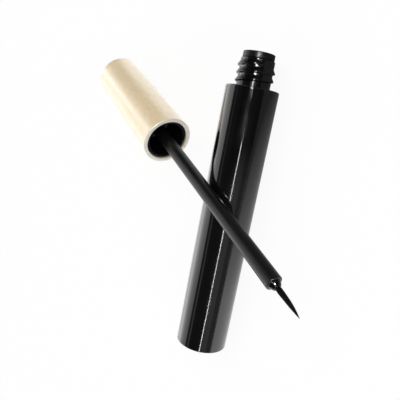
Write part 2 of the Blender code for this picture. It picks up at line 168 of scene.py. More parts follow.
def shade(piece):
    """Smooth shading with crisp corners, and normals that follow the larger faces."""
    piece.data.shade_smooth()
    piece.data.set_sharp_from_angle(angle=SHARP_ANGLE)
    even = piece.modifiers.new("even_normals", "WEIGHTED_NORMAL")
    even.keep_sharp = True
    print(piece.name, len(piece.data.polygons), "faces")


def turned(name, corners, place, sides):
    """A piece spun from half of its section."""
    builder = bmesh.new()
    draw_outline(builder, corners)
    bmesh.ops.spin(
        builder,
        geom=builder.verts[:] + builder.edges[:],
        cent=(0, 0, 0),
        axis=(0, 0, 1),
        angle=math.tau,
        steps=sides,
        use_merge=True,
    )
    return finished(name, builder, place)


def join_into(piece, other):
    """Union another shape into a piece, then take the other shape away."""
    modifier = piece.modifiers.new("join", "BOOLEAN")
    modifier.operation = "UNION"
    modifier.solver = "EXACT"
    modifier.object = other
    evaluated = piece.evaluated_get(bpy.context.evaluated_depsgraph_get())
    joined = bpy.data.meshes.new_from_object(evaluated)
    piece.modifiers.clear()
    piece.data = joined
    bpy.data.objects.remove(other)


def dress(piece, finish, body, node):
    """Give a piece its finish, put it on its body, and hide the solid that it stands for."""
    shade(piece)
    piece.data.materials.clear()
    piece.data.materials.append(finish)
    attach(piece, body)
    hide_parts(node)


# %% [markdown]
# Finishes are built from nodes. Every pattern reads Object coordinates, which here are metres in
# the table's frame. A pattern that has to run along a piece first goes through a Mapping node,
# which turns the coordinates so that Z follows the piece's own axis. Noise runs from 0 to 1 but
# keeps mostly to the middle, so a ramp over the middle alone gives its full effect.

# %% Helpers for finishes
NOISE_SPREAD = (0.3, 0.7)


def new_finish(name, color, metallic=0.0):
    """A Principled material, its node tree for adding to, and its shader."""
    material = bpy.data.materials.new(name)
    material.use_nodes = True
    tree = material.node_tree
    shader = tree.nodes["Principled BSDF"]
    shader.inputs["Base Color"].default_value = (*color, 1.0)
    shader.inputs["Metallic"].default_value = metallic
    return material, tree, shader


def coordinates(tree, place, stretch=(1, 1, 1)):
    """Object coordinates turned to a piece's own upright frame, then stretched."""
    source = tree.nodes.new("ShaderNodeTexCoord")
    upright = tree.nodes.new("ShaderNodeMapping")
    back = place.inverted()
    upright.inputs["Location"].default_value = back.to_translation()
    upright.inputs["Rotation"].default_value = back.to_euler("XYZ")
    tree.links.new(source.outputs["Object"], upright.inputs["Vector"])
    scaled = tree.nodes.new("ShaderNodeMapping")
    scaled.inputs["Scale"].default_value = stretch
    tree.links.new(upright.outputs["Vector"], scaled.inputs["Vector"])
    return scaled.outputs["Vector"]


def split(tree, vector):
    """The outputs X, Y and Z of a vector."""
    parts = tree.nodes.new("ShaderNodeSeparateXYZ")
    tree.links.new(vector, parts.inputs["Vector"])
    return parts.outputs


def noise(tree, vector, scale, detail):
    """Noise with so many waves a metre, and detail for finer waves on them."""
    texture = tree.nodes.new("ShaderNodeTexNoise")
    texture.inputs["Scale"].default_value = scale
    texture.inputs["Detail"].default_value = detail
    tree.links.new(vector, texture.inputs["Vector"])
    return texture.outputs["Fac"]


def ramp(tree, value, low, high, out_low, out_high, curve="SMOOTHSTEP"):
    """Map a value from one range to another, without overshoot."""
    step = tree.nodes.new("ShaderNodeMapRange")
    step.interpolation_type = curve
    step.inputs["From Min"].default_value = low
    step.inputs["From Max"].default_value = high
    step.inputs["To Min"].default_value = out_low
    step.inputs["To Max"].default_value = out_high
    tree.links.new(value, step.inputs["Value"])
    return step.outputs["Result"]


def feed(tree, value, socket):
    """Link a value to a node's input, or set the input where the value is a plain one."""
    if isinstance(value, bpy.types.NodeSocket):
        tree.links.new(value, socket)
    else:
        socket.default_value = value


def blend(tree, share, first, second, kind="FLOAT"):
    """A number or colour that goes from one to another."""
    mix = tree.nodes.new("ShaderNodeMix")
    mix.data_type = kind
    tree.links.new(share, mix.inputs["Factor"])
    feed(tree, first, mix.inputs["A"])
    feed(tree, second, mix.inputs["B"])
    return mix.outputs["Result"]


def roughen(tree, shader, pattern, roughness, spread=NOISE_SPREAD):
    """Roughness that goes from one value to another with a pattern."""
    tree.links.new(ramp(tree, pattern, *spread, *roughness), shader.inputs["Roughness"])


def bump(tree, shader, height, depth):
    """Relief of so many metres from a 0 to 1 height."""
    relief = tree.nodes.new("ShaderNodeBump")
    relief.inputs["Distance"].default_value = depth
    tree.links.new(height, relief.inputs["Height"])
    tree.links.new(relief.outputs["Normal"], shader.inputs["Normal"])
    return relief


# %% [markdown]
# The jacket is black plastic under clear lacquer, polished enough to mirror the room. Its gloss
# comes from two layers, the plastic and a coat. Handling leaves faint patches that are a little
# less sharp, and the lacquer has a very shallow waviness. Both are noise of unlike sizes, one in
# the roughness and one in the relief.

# %% Lacquered black
SHINY_BLACK = (0.003, 0.003, 0.003)
UNDERCOAT_IOR = 1.60
LACQUER_IOR = 1.50
LACQUER_ROUGHNESS = 0.03
PATCH_WAVES = 130
PATCH_DETAIL = 4.0
PATCH_SPREAD = (0.35, 0.75)
PATCH_ROUGHNESS = (0.07, 0.16)
LACQUER_WAVES = 700
LACQUER_DETAIL = 1.0
LACQUER_RELIEF = 0.0000007


def lacquered_black():
    material, tree, shader = new_finish("gloss_black", SHINY_BLACK)
    shader.inputs["IOR"].default_value = UNDERCOAT_IOR
    shader.inputs["Coat Weight"].default_value = 1.0
    shader.inputs["Coat Roughness"].default_value = LACQUER_ROUGHNESS
    shader.inputs["Coat IOR"].default_value = LACQUER_IOR
    vector = coordinates(tree, bottle_place)
    patches = noise(tree, vector, PATCH_WAVES, PATCH_DETAIL)
    roughen(tree, shader, patches, PATCH_ROUGHNESS, PATCH_SPREAD)
    waves = noise(tree, vector, LACQUER_WAVES, LACQUER_DETAIL)
    bump(tree, shader, waves, LACQUER_RELIEF)
    return material


gloss_black = lacquered_black()
print("lacquer:", len(gloss_black.node_tree.nodes), "nodes")

# %% [markdown]
# The vial, the base plug and the cap's liner are bare mouldings. Their skin copies the mould's
# fine spark texture, so it is a soft gloss with a grain too small to see singly. The liner is the
# duller one. It needs its own material, because the pattern has to follow the applicator's axis
# too.

# %% Moulded black
FLOW_WAVES = 350
FLOW_DETAIL = 3.0
GRAIN_WAVES = 6000
GRAIN_DETAIL = 2.0
GRAIN_RELIEF = 0.0000006
BOTTLE_GLOSS = 0.9
BOTTLE_ROUGHNESS = (0.09, 0.16)
LINER_GLOSS = 0.12
LINER_ROUGHNESS = (0.30, 0.40)


def moulded_black_finish(name, place, gloss, roughness):
    material, tree, shader = new_finish(name, SHINY_BLACK)
    shader.inputs["Specular IOR Level"].default_value = gloss
    vector = coordinates(tree, place)
    flow = noise(tree, vector, FLOW_WAVES, FLOW_DETAIL)
    roughen(tree, shader, flow, roughness)
    grain = noise(tree, vector, GRAIN_WAVES, GRAIN_DETAIL)
    bump(tree, shader, grain, GRAIN_RELIEF)
    return material


bottle_moulding = moulded_black_finish(
    "moulded_black", bottle_place, BOTTLE_GLOSS, BOTTLE_ROUGHNESS
)
liner_moulding = moulded_black_finish(
    "moulded_black_liner", applicator_place, LINER_GLOSS, LINER_ROUGHNESS
)
print("mouldings:", bottle_moulding.name, liner_moulding.name)

# %% [markdown]
# The wiper is a softer plastic, duller than the neck that it sits in. Its skin is a little uneven,
# so one mottle of noise moves both its roughness and its relief.

# %% Soft black
SOFT_BLACK = (0.005, 0.005, 0.005)
SOFT_GLOSS = 0.35
SOFT_WAVES = 2500
SOFT_DETAIL = 3.0
SOFT_ROUGHNESS = (0.26, 0.38)
SOFT_RELIEF = 0.000002


def soft_black_finish():
    material, tree, shader = new_finish("soft_black", SOFT_BLACK)
    shader.inputs["Specular IOR Level"].default_value = SOFT_GLOSS
    vector = coordinates(tree, bottle_place)
    mottle = noise(tree, vector, SOFT_WAVES, SOFT_DETAIL)
    roughen(tree, shader, mottle, SOFT_ROUGHNESS)
    bump(tree, shader, mottle, SOFT_RELIEF)
    return material


soft_black = soft_black_finish()
print("wiper's gloss:", SOFT_GLOSS, "of 0.5")

# %% [markdown]
# The stem is satin black. Its grain runs lengthwise, as the plastic was drawn, so the noise is
# stretched along the stem. Towards the brush a film of ink clings to it, so it reflects a little
# more there. The nose and the end face round it are wet with ink: there the roughness falls.

# %% Satin black
STEM_REACH = 0.0549
WET_START = STEM_REACH - 0.00010
WET_FULL = STEM_REACH + 0.00005
WET_ROUGHNESS = 0.06
STEM_BLACK = (0.002, 0.002, 0.002)
STEM_GLOSS = (0.48, 0.76)
STEM_ROUGHNESS = (0.33, 0.42)
STEM_GRAIN_STRETCH = (1, 1, 0.04)
STEM_GRAIN_WAVES = 5000
STEM_GRAIN_DETAIL = 2.0
STEM_GRAIN_RELIEF = 0.000001


def satin_black_finish():
    material, tree, shader = new_finish("satin_black", STEM_BLACK)
    along = split(tree, coordinates(tree, applicator_place))["Z"]
    grain_vector = coordinates(tree, applicator_place, STEM_GRAIN_STRETCH)
    grain = noise(tree, grain_vector, STEM_GRAIN_WAVES, STEM_GRAIN_DETAIL)
    dry = ramp(tree, grain, *NOISE_SPREAD, *STEM_ROUGHNESS)
    wet = ramp(tree, along, WET_START, WET_FULL, 0.0, 1.0)
    tree.links.new(blend(tree, wet, dry, WET_ROUGHNESS), shader.inputs["Roughness"])
    relief = bump(tree, shader, grain, STEM_GRAIN_RELIEF)
    drying = ramp(tree, along, WET_START, WET_FULL, 1.0, 0.0)
    tree.links.new(drying, relief.inputs["Strength"])
    gloss = ramp(tree, along, 0.0, STEM_REACH, *STEM_GLOSS)
    tree.links.new(gloss, shader.inputs["Specular IOR Level"])
    return material


satin_black = satin_black_finish()
print("stem: wet from", round(WET_START, 5), "m beyond the cap's rim")

# %% [markdown]
# The brush is loaded with ink. The strands cling together and shine along their length, so the
# stem's drawn out noise streaks their roughness. They need no relief, because each is modelled.

# %% Inked strands
INKED_BLACK = (0.006, 0.006, 0.006)
INKED_ROUGHNESS = (0.24, 0.40)


def inked_finish():
    material, tree, shader = new_finish("inked_black", INKED_BLACK)
    vector = coordinates(tree, applicator_place, STEM_GRAIN_STRETCH)
    streaks = noise(tree, vector, STEM_GRAIN_WAVES, STEM_GRAIN_DETAIL)
    roughen(tree, shader, streaks, INKED_ROUGHNESS)
    return material


inked_black = inked_finish()
print("ink:", len(inked_black.node_tree.nodes), "nodes")

# %% [markdown]
# The cap is aluminium, anodised champagne and satin: fine blasting before the dye gives it a grain
# that scatters reflections softly. The dye takes a little unevenly, more along the cap than across
# it, which is the noise in the colour. The clear seal over the dye adds a pale sheen of its own,
# and that is the coat. The last tenth of a millimetre at the rim is painted paler: painted light
# for the brightness that the rim's face catches.

# %% Champagne satin
CHAMPAGNE_DARK = (0.82, 0.64, 0.37, 1.0)
CHAMPAGNE_LIGHT = (0.90, 0.715, 0.43, 1.0)
CHAMPAGNE_IOR = 2.6
DYE_WAVES = 900
DYE_DETAIL = 5.0
DYE_SPREAD = (0.35, 0.65)
DYE_STRETCH = (1, 1, 0.6)
# Painted light: the rim gets a paler colour for the brightness that its face catches.
RIM_PAINTED_LIGHT = (0.88, 0.82, 0.72, 1.0)
RIM_LIGHT_START = -0.00022
RIM_LIGHT_FULL = -0.00012
SEAL_IOR = 1.8
SEAL_ROUGHNESS = 0.28
SHEEN_ROUGHNESS = 0.33
BLAST_WAVES = 9000
BLAST_DETAIL = 3.0
BLAST_ROUGHNESS = (0.32, 0.40)
BLAST_RELIEF = 0.000003


def champagne_finish():
    material, tree, shader = new_finish("champagne", CHAMPAGNE_LIGHT[:3])
    shader.inputs["IOR"].default_value = CHAMPAGNE_IOR
    shader.inputs["Coat Weight"].default_value = 1.0
    shader.inputs["Coat Roughness"].default_value = SEAL_ROUGHNESS
    shader.inputs["Coat IOR"].default_value = SEAL_IOR
    shader.inputs["Sheen Weight"].default_value = 1.0
    shader.inputs["Sheen Roughness"].default_value = SHEEN_ROUGHNESS
    vector = coordinates(tree, applicator_place)
    dye_vector = coordinates(tree, applicator_place, DYE_STRETCH)
    dye = noise(tree, dye_vector, DYE_WAVES, DYE_DETAIL)
    thin = ramp(tree, dye, *DYE_SPREAD, 0.0, 1.0)
    tint = blend(tree, thin, CHAMPAGNE_DARK, CHAMPAGNE_LIGHT, "RGBA")
    # Painted light: the last tenth of a millimetre at the rim turns paler.
    painted_rim_light = ramp(tree, split(tree, vector)["Z"], RIM_LIGHT_START, RIM_LIGHT_FULL, 0.0, 1.0)
    color = blend(tree, painted_rim_light, tint, RIM_PAINTED_LIGHT, "RGBA")
    tree.links.new(color, shader.inputs["Base Color"])
    blast = noise(tree, vector, BLAST_WAVES, BLAST_DETAIL)
    roughen(tree, shader, blast, BLAST_ROUGHNESS)
    bump(tree, shader, blast, BLAST_RELIEF)
    return material


champagne = champagne_finish()
print("cap:", len(champagne.node_tree.nodes), "nodes")

# %% [markdown]
# Two finishes are seldom seen: the steel ball in the ink and the foam ring that seals the bottle.
# The ball is polished and finely scratched by its own rolling. The foam has closed cells.

# %% Steel and foam
STEEL_GREY = (0.62, 0.62, 0.63)
SCRATCH_STRETCH = (1, 0.05, 1)
SCRATCH_WAVES = 3000
SCRATCH_DETAIL = 4.0
SCRATCH_SPREAD = (0.4, 0.7)
SCRATCH_ROUGHNESS = (0.10, 0.22)
SCRATCH_RELIEF = 0.000001
FOAM_GREY = (0.045, 0.045, 0.046)
FOAM_ROUGHNESS = 0.80
CELL_WAVES = 4500
CELL_RELIEF = 0.00004


def steel_finish():
    material, tree, shader = new_finish("steel", STEEL_GREY, metallic=1.0)
    vector = coordinates(tree, bottle_place, SCRATCH_STRETCH)
    scratches = noise(tree, vector, SCRATCH_WAVES, SCRATCH_DETAIL)
    roughen(tree, shader, scratches, SCRATCH_ROUGHNESS, SCRATCH_SPREAD)
    bump(tree, shader, scratches, SCRATCH_RELIEF)
    return material


def foam_finish():
    material, tree, shader = new_finish("foam", FOAM_GREY)
    shader.inputs["Roughness"].default_value = FOAM_ROUGHNESS
    cells = tree.nodes.new("ShaderNodeTexVoronoi")
    cells.inputs["Scale"].default_value = CELL_WAVES
    tree.links.new(coordinates(tree, applicator_place), cells.inputs["Vector"])
    bump(tree, shader, cells.outputs["Distance"], CELL_RELIEF)
    return material


steel = steel_finish()
foam = foam_finish()
print("inner finishes:", steel.name, foam.name)

# %% [markdown]
# The bottle's sizes are read from the frame where a box gives them, because the bottle lies along
# X. The other sizes are walls and clearances of the design.

# %% Sizes of the bottle
PRESS_GAP = 0.0002
TUBE_GAP = 0.00025
jacket_low, jacket_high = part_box("bottle_jacket")
BODY_RADIUS = (jacket_high.z - jacket_low.z) / 2
BODY_LENGTH = jacket_high.x
MOUTH_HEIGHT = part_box("wiper")[1].x
JACKET_WALL = 0.0008
SHOULDER_THICKNESS = 0.0008
SHOULDER_ROUND = 0.00045
FOOT_ROUND = 0.0003
HOLE_ROUND = 0.0001
NECK_RADIUS = 0.00441
NECK_WALL = 0.00081
JACKET_BORE = BODY_RADIUS - JACKET_WALL
BODY_SIDES = 192

# %% [markdown]
# The jacket is a plain tube with a flat shoulder. What makes it look real is its edges: a small
# round at the shoulder that catches the light, a tighter one at the foot, and a crisp hole for the
# neck.

# %% Jacket
jacket = turned(
    "jacket",
    [
        (JACKET_BORE, 0),
        (BODY_RADIUS, 0, FOOT_ROUND),
        (BODY_RADIUS, BODY_LENGTH, SHOULDER_ROUND),
        (NECK_RADIUS + PRESS_GAP, BODY_LENGTH, HOLE_ROUND),
        (NECK_RADIUS + PRESS_GAP, BODY_LENGTH - SHOULDER_THICKNESS),
        (JACKET_BORE, BODY_LENGTH - SHOULDER_THICKNESS),
    ],
    bottle_place,
    BODY_SIDES,
)
dress(jacket, gloss_black, "bottle", "bottle_jacket")

# %% [markdown]
# The base plug is pressed into the foot. Its face shows the small dimple where the plastic entered
# the mould.

# %% Base plug
PLUG_THICKNESS = 0.0012
PLUG_SKIRT_HEIGHT = 0.0020
PLUG_SKIRT_WALL = 0.0008
PLUG_ROUND = 0.00015
GATE_RADIUS = 0.0005
GATE_FLANK = 0.0005
GATE_DEPTH = 0.00012
GATE_ROUND = 0.0002
PLUG_TOP = PLUG_THICKNESS + PLUG_SKIRT_HEIGHT
plug_radius = JACKET_BORE - PRESS_GAP
plug = turned(
    "foot_plug",
    [
        (0, GATE_DEPTH),
        (GATE_RADIUS, GATE_DEPTH, GATE_ROUND),
        (GATE_RADIUS + GATE_FLANK, 0, GATE_ROUND),
        (plug_radius, 0, PLUG_ROUND),
        (plug_radius, PLUG_TOP),
        (plug_radius - PLUG_SKIRT_WALL, PLUG_TOP),
        (plug_radius - PLUG_SKIRT_WALL, PLUG_THICKNESS),
        (0, PLUG_THICKNESS),
    ],
    bottle_place,
    BODY_SIDES,
)
dress(plug, bottle_moulding, "bottle", "base_plug")

# %% [markdown]
# The thread is the neck's main feature. Its section is a small buttress: a steep side towards the
# shoulder, a narrow crest and a long slope towards the mouth. Spinning that face while it climbs
# one pitch a turn makes the helix. Both ends then sink into the neck, as a moulded thread fades
# out.

# %% Helper for threads
THREAD_PITCH = 0.00197
THREAD_DEPTH = 0.00056
THREAD_CREST = 0.00018
THREAD_STEEP_FLANK = 0.00034
THREAD_SLOPING_FLANK = 0.00115
THREAD_BITE = 0.0001
THREAD_CREST_ROUND = 0.00007
THREAD_ROUND_STEPS = 2
THREAD_FADE_TURN = 0.22
THREAD_END_SHARE = 0.12
THREAD_PHASE_TURN = 0.05
THREAD_STEPS_A_TURN = 120


def thread_ridge(wall_radius, depth, start, turns):
    """A helical ridge on a round wall. A negative depth points inwards."""
    outwards = math.copysign(1, depth)
    foot = wall_radius - outwards * THREAD_BITE
    crest = wall_radius + depth
    top = THREAD_CREST + THREAD_SLOPING_FLANK
    builder = bmesh.new()
    profile = [(foot, -THREAD_STEEP_FLANK), (crest, 0), (crest, THREAD_CREST), (foot, top)]
    verts = [builder.verts.new((radius, 0, height)) for radius, height in profile]
    builder.faces.new(verts)
    round_off(builder, verts[1:3], THREAD_CREST_ROUND, THREAD_ROUND_STEPS)
    steps = round(turns * THREAD_STEPS_A_TURN)
    bmesh.ops.spin(
        builder,
        geom=builder.verts[:] + builder.edges[:] + builder.faces[:],
        cent=(0, 0, 0),
        axis=(0, 0, 1),
        dvec=(0, 0, THREAD_PITCH / THREAD_STEPS_A_TURN),
        angle=math.tau * steps / THREAD_STEPS_A_TURN,
        steps=steps,
    )
    middle = (top - THREAD_STEEP_FLANK) / 2
    for vert in builder.verts:
        radius = math.hypot(vert.co.x, vert.co.y)
        angle_turn = math.atan2(vert.co.y, vert.co.x) / math.tau % 1
        turn = angle_turn + round((vert.co.z - middle) / THREAD_PITCH - angle_turn)
        fade = max(0, min(1, turn / THREAD_FADE_TURN, (turns - turn) / THREAD_FADE_TURN))
        rise_share = THREAD_END_SHARE + (1 - THREAD_END_SHARE) * math.sin(fade * math.pi / 2)
        new_radius = foot + (radius - foot) * rise_share
        vert.co.x *= new_radius / radius
        vert.co.y *= new_radius / radius
    turn_to_phase = Matrix.Rotation(math.tau * THREAD_PHASE_TURN, 4, "Z")
    rise_to_start = Matrix.Translation((0, 0, start))
    bmesh.ops.transform(builder, matrix=rise_to_start @ turn_to_phase, verts=builder.verts)
    return builder


# %% [markdown]
# The vial holds the ink inside the jacket, and its neck comes out through the shoulder. The walls
# are turned in one go, inside and outside, and the thread is joined on as a solid, so that its
# foot meets the neck in a clean line.

# %% Vial with its threaded neck
VIAL_WALL = 0.0009
VIAL_FLOOR = 0.0011
VIAL_CEILING = 0.0010
VIAL_ROUND = 0.0006
COLLAR_HEIGHT = 0.0015
NECK_ROUND = 0.00015
THREAD_START = 0.00062
THREAD_PLAIN_BAND = 0.0013
VIAL_FOOT = PLUG_TOP + PRESS_GAP
VIAL_TOP = BODY_LENGTH - SHOULDER_THICKNESS - PRESS_GAP
VIAL_RADIUS = JACKET_BORE - TUBE_GAP
VIAL_BORE = VIAL_RADIUS - VIAL_WALL
NECK_BORE = NECK_RADIUS - NECK_WALL
NECK_TOP = MOUTH_HEIGHT - COLLAR_HEIGHT - PRESS_GAP
NECK_SIDES = 160
vial_ceiling = VIAL_TOP - VIAL_CEILING
vial_floor = VIAL_FOOT + VIAL_FLOOR
vial = turned(
    "vial",
    [
        (0, VIAL_FOOT),
        (VIAL_RADIUS, VIAL_FOOT, VIAL_ROUND),
        (VIAL_RADIUS, VIAL_TOP),
        (NECK_RADIUS, VIAL_TOP),
        (NECK_RADIUS, NECK_TOP, NECK_ROUND),
        (NECK_BORE, NECK_TOP),
        (NECK_BORE, vial_ceiling),
        (VIAL_BORE, vial_ceiling - (VIAL_BORE - NECK_BORE)),
        (VIAL_BORE, vial_floor, VIAL_ROUND),
        (0, vial_floor),
    ],
    bottle_place,
    NECK_SIDES,
)
thread_low = BODY_LENGTH + THREAD_START
thread_turns = (NECK_TOP - THREAD_PLAIN_BAND - thread_low) / THREAD_PITCH
ridge = thread_ridge(NECK_RADIUS, THREAD_DEPTH, thread_low, thread_turns)
join_into(vial, finished("neck_thread", ridge, bottle_place))
dress(vial, bottle_moulding, "bottle", "inner_vial")
print("neck thread:", round(thread_turns, 2), "turns")

# %% [markdown]
# The wiper is the plain ring on top of the neck. Inside, it narrows to a lip that just lets the
# stem through and strips the ink from it.

# %% Wiper
COLLAR_SETBACK = 0.00028
COLLAR_ROUND = 0.0002
WIPER_LENGTH = 0.0100
WIPER_WALL = 0.0005
WIPER_STRAIGHT_LENGTH = 0.0062
WIPER_LIP_LENGTH = 0.0012
WIPER_LEAD = 0.00025
WIPE_GAP = 0.00012
STEM_RADIUS = 0.00187
wiper_radius = NECK_BORE - PRESS_GAP
wiper_bore = wiper_radius - WIPER_WALL
orifice = STEM_RADIUS + WIPE_GAP
lip_end = MOUTH_HEIGHT - WIPER_LENGTH
straight_end = MOUTH_HEIGHT - WIPER_STRAIGHT_LENGTH
wiper = turned(
    "wiper_ring",
    [
        (wiper_bore, straight_end),
        (orifice, lip_end + WIPER_LIP_LENGTH),
        (orifice, lip_end),
        (orifice + WIPER_WALL, lip_end),
        (orifice + WIPER_WALL, lip_end + WIPER_LIP_LENGTH),
        (wiper_radius, straight_end),
        (wiper_radius, MOUTH_HEIGHT - COLLAR_HEIGHT),
        (NECK_RADIUS - COLLAR_SETBACK, MOUTH_HEIGHT - COLLAR_HEIGHT),
        (NECK_RADIUS - COLLAR_SETBACK, MOUTH_HEIGHT, COLLAR_ROUND),
        (wiper_bore, MOUTH_HEIGHT, WIPER_LEAD),
    ],
    bottle_place,
    NECK_SIDES,
)
dress(wiper, soft_black, "bottle", "wiper")

# %% [markdown]
# A steel ball rolls in the ink and stirs it when the bottle is shaken. The frame's box gives its
# centre.

# %% Mixing ball
BALL_SEGMENTS = 64
BALL_RINGS = 32
ball_low, ball_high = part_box("mixing_ball")
ball_radius = (ball_high.z - ball_low.z) / 2
builder = bmesh.new()
bmesh.ops.create_uvsphere(
    builder, u_segments=BALL_SEGMENTS, v_segments=BALL_RINGS, radius=ball_radius
)
ball = finished("stirring_ball", builder, Matrix.Translation((ball_low + ball_high) / 2))
dress(ball, steel, "ball", "mixing_ball")

# %% [markdown]
# The cap's shell is one drawn cup that widens a little towards its mouth. Its closed end is flat
# with a soft edge, and its rim is rounded on both sides, which draws the fine line round the
# mouth.

# %% Cap shell
CAP_WALL = 0.00088
CAP_END_THICKNESS = 0.0009
CAP_END_ROUND = 0.0005
CAP_RIM_ROUND = 0.00025
CAP_FLARE = 0.00028
CAP_RADIUS = BODY_RADIUS
CAP_BORE = CAP_RADIUS - CAP_WALL
cap_ceiling = CAP_END_THICKNESS - CAP_LENGTH
cap = turned(
    "cap",
    [
        (0, -CAP_LENGTH),
        (CAP_RADIUS, -CAP_LENGTH, CAP_END_ROUND),
        (CAP_RADIUS + CAP_FLARE, 0, CAP_RIM_ROUND),
        (CAP_BORE, 0, CAP_RIM_ROUND),
        (CAP_BORE, cap_ceiling),
        (0, cap_ceiling),
    ],
    applicator_place,
    BODY_SIDES,
)
dress(cap, champagne, "applicator", "cap_shell")

# %% [markdown]
# The liner is the black threaded cup in the cap. Its thread is the neck's own, turned inwards.
# Behind it a long boss holds the stem, and six fins centre the boss in the shell.

# %% Cap liner
THREAD_GAP = 0.00025
LINER_RECESS = 0.0006
LINER_CEILING = 0.0014
LINER_MOUTH_LEAD = 0.00035
LINER_THREAD_START = 0.0014
LINER_THREAD_TURNS = 1.6
LINER_BOSS_WALL = 0.00083
LINER_FIN_THICKNESS = 0.0009
LINER_FIN_COUNT = 6
LINER_FIN_BITE = 0.0004
SOCKET_DEPTH = 0.0095
SEAL_THICKNESS = 0.0006
BARB_HEIGHT = 0.0001
neck_rise = MOUTH_HEIGHT - BODY_LENGTH
seal_place = -neck_rise - PRESS_GAP
liner_ceiling = seal_place - SEAL_THICKNESS - PRESS_GAP
liner_back = liner_ceiling - LINER_CEILING
liner_end = cap_ceiling + PRESS_GAP
liner_radius = CAP_BORE - PRESS_GAP
liner_bore = NECK_RADIUS + THREAD_DEPTH + THREAD_GAP
socket_radius = STEM_RADIUS + BARB_HEIGHT + PRESS_GAP
socket_end = liner_ceiling - SOCKET_DEPTH
boss_radius = socket_radius + LINER_BOSS_WALL
liner = turned(
    "threaded_liner",
    [
        (0, liner_end),
        (boss_radius, liner_end),
        (boss_radius, liner_back),
        (liner_radius, liner_back),
        (liner_radius, -LINER_RECESS),
        (liner_bore, -LINER_RECESS, LINER_MOUTH_LEAD),
        (liner_bore, liner_ceiling),
        (socket_radius, liner_ceiling),
        (socket_radius, socket_end),
        (0, socket_end),
    ],
    applicator_place,
    NECK_SIDES,
)
fin_foot = boss_radius - LINER_FIN_BITE
fin_slack = liner_radius - math.sqrt(liner_radius**2 - (LINER_FIN_THICKNESS / 2) ** 2)
fin_width = liner_radius - fin_slack - fin_foot
fin_length = liner_back + LINER_FIN_BITE - liner_end
fin_size = Matrix.Diagonal((fin_width, LINER_FIN_THICKNESS, fin_length, 1))
fin_shift = Matrix.Translation((fin_foot + fin_width / 2, 0, liner_end + fin_length / 2))
builder = bmesh.new()
for index in range(LINER_FIN_COUNT):
    fin_turn = Matrix.Rotation(math.tau * index / LINER_FIN_COUNT, 4, "Z")
    bmesh.ops.create_cube(builder, size=1, matrix=fin_turn @ fin_shift @ fin_size)
join_into(liner, finished("liner_fins", builder, applicator_place))
liner_thread_low = -LINER_RECESS - LINER_THREAD_START - LINER_THREAD_TURNS * THREAD_PITCH
liner_thread_depth = NECK_RADIUS + THREAD_GAP - liner_bore
ridge = thread_ridge(liner_bore, liner_thread_depth, liner_thread_low, LINER_THREAD_TURNS)
join_into(liner, finished("liner_thread", ridge, applicator_place))
dress(liner, liner_moulding, "applicator", "cap_liner")

# %% [markdown]
# The seal is a ring of foam at the bottom of the liner, which presses on the wiper's collar when
# the cap is screwed down.

# %% Seal
SEAL_ROUND = 0.0001
seal_outer = NECK_RADIUS
seal = turned(
    "foam_seal",
    [
        (STEM_RADIUS + PRESS_GAP, seal_place - SEAL_THICKNESS),
        (seal_outer, seal_place - SEAL_THICKNESS, SEAL_ROUND),
        (seal_outer, seal_place, SEAL_ROUND),
        (STEM_RADIUS + PRESS_GAP, seal_place, SEAL_ROUND),
    ],
    applicator_place,
    NECK_SIDES,
)
dress(seal, foam, "applicator", "seal_washer")

# %% [markdown]
# The stem is a rod that thickens very slightly towards the brush. Its root has barbs that hold it
# in the liner's boss. Its free end is rounded off and runs through a hollow flank into the nose
# that grips the brush.

# %% Stem
STEM_FLARE_START = 0.0260
STEM_FLARE = 0.00016
STEM_END_ROUND = 0.00028
BARB_PITCH = 0.0016
BARB_COUNT = 3
NOSE_LEDGE = 0.00022
NOSE_TIP_WALL = 0.00022
NOSE_CONE_START = (0.00140, 0.00034)
NOSE_CONE_END = (0.00110, 0.00094)
NOSE_BLEND = 0.00022
NOSE_LIP_ROUND = 0.00012
BRUSH_ROOT_RADIUS = 0.0005
BRUSH_GAP = 0.00015
BRUSH_ROOT_DEPTH = 0.0042
NOSE_LENGTH = 0.0012
STEM_SIDES = 96
nose_end = STEM_REACH + NOSE_LENGTH
brush_hole_radius = BRUSH_ROOT_RADIUS + BRUSH_GAP
brush_hole_end = nose_end - BRUSH_ROOT_DEPTH
nose_foot = STEM_RADIUS - NOSE_LEDGE
nose_tip = brush_hole_radius + NOSE_TIP_WALL
stem_root = socket_end + PRESS_GAP
stem_corners = [(0, stem_root), (STEM_RADIUS - BARB_HEIGHT, stem_root)]
for index in range(BARB_COUNT):
    barb_foot = stem_root + BARB_PITCH * (index + 1)
    stem_corners += [(STEM_RADIUS + BARB_HEIGHT, barb_foot), (STEM_RADIUS, barb_foot)]
stem_corners += [
    (STEM_RADIUS, STEM_FLARE_START),
    (STEM_RADIUS + STEM_FLARE, STEM_REACH, STEM_END_ROUND),
    (nose_foot, STEM_REACH),
    (NOSE_CONE_START[0], STEM_REACH + NOSE_CONE_START[1], NOSE_BLEND),
    (NOSE_CONE_END[0], STEM_REACH + NOSE_CONE_END[1], NOSE_BLEND),
    (nose_tip, nose_end, NOSE_LIP_ROUND),
    (brush_hole_radius, nose_end, NOSE_LIP_ROUND),
    (brush_hole_radius, brush_hole_end),
    (0, brush_hole_end),
]
stem = turned("rod", stem_corners, applicator_place, STEM_SIDES)
dress(stem, satin_black, "applicator", "stem")

# %% [markdown]
# The brush is a bundle of fine tapered strands. One strand is a slender cone, cut into rings so
# that it can bend. Copies of it are set out in the pattern of a sunflower's seeds, which fills a
# round bundle evenly. Each ring is then moved out or in with the bundle's own outline: out to a
# belly beyond the nose, slowly narrower, and together at the point. Outer strands end a little
# sooner, each by its own amount. The point of a used brush leans a little to one side.

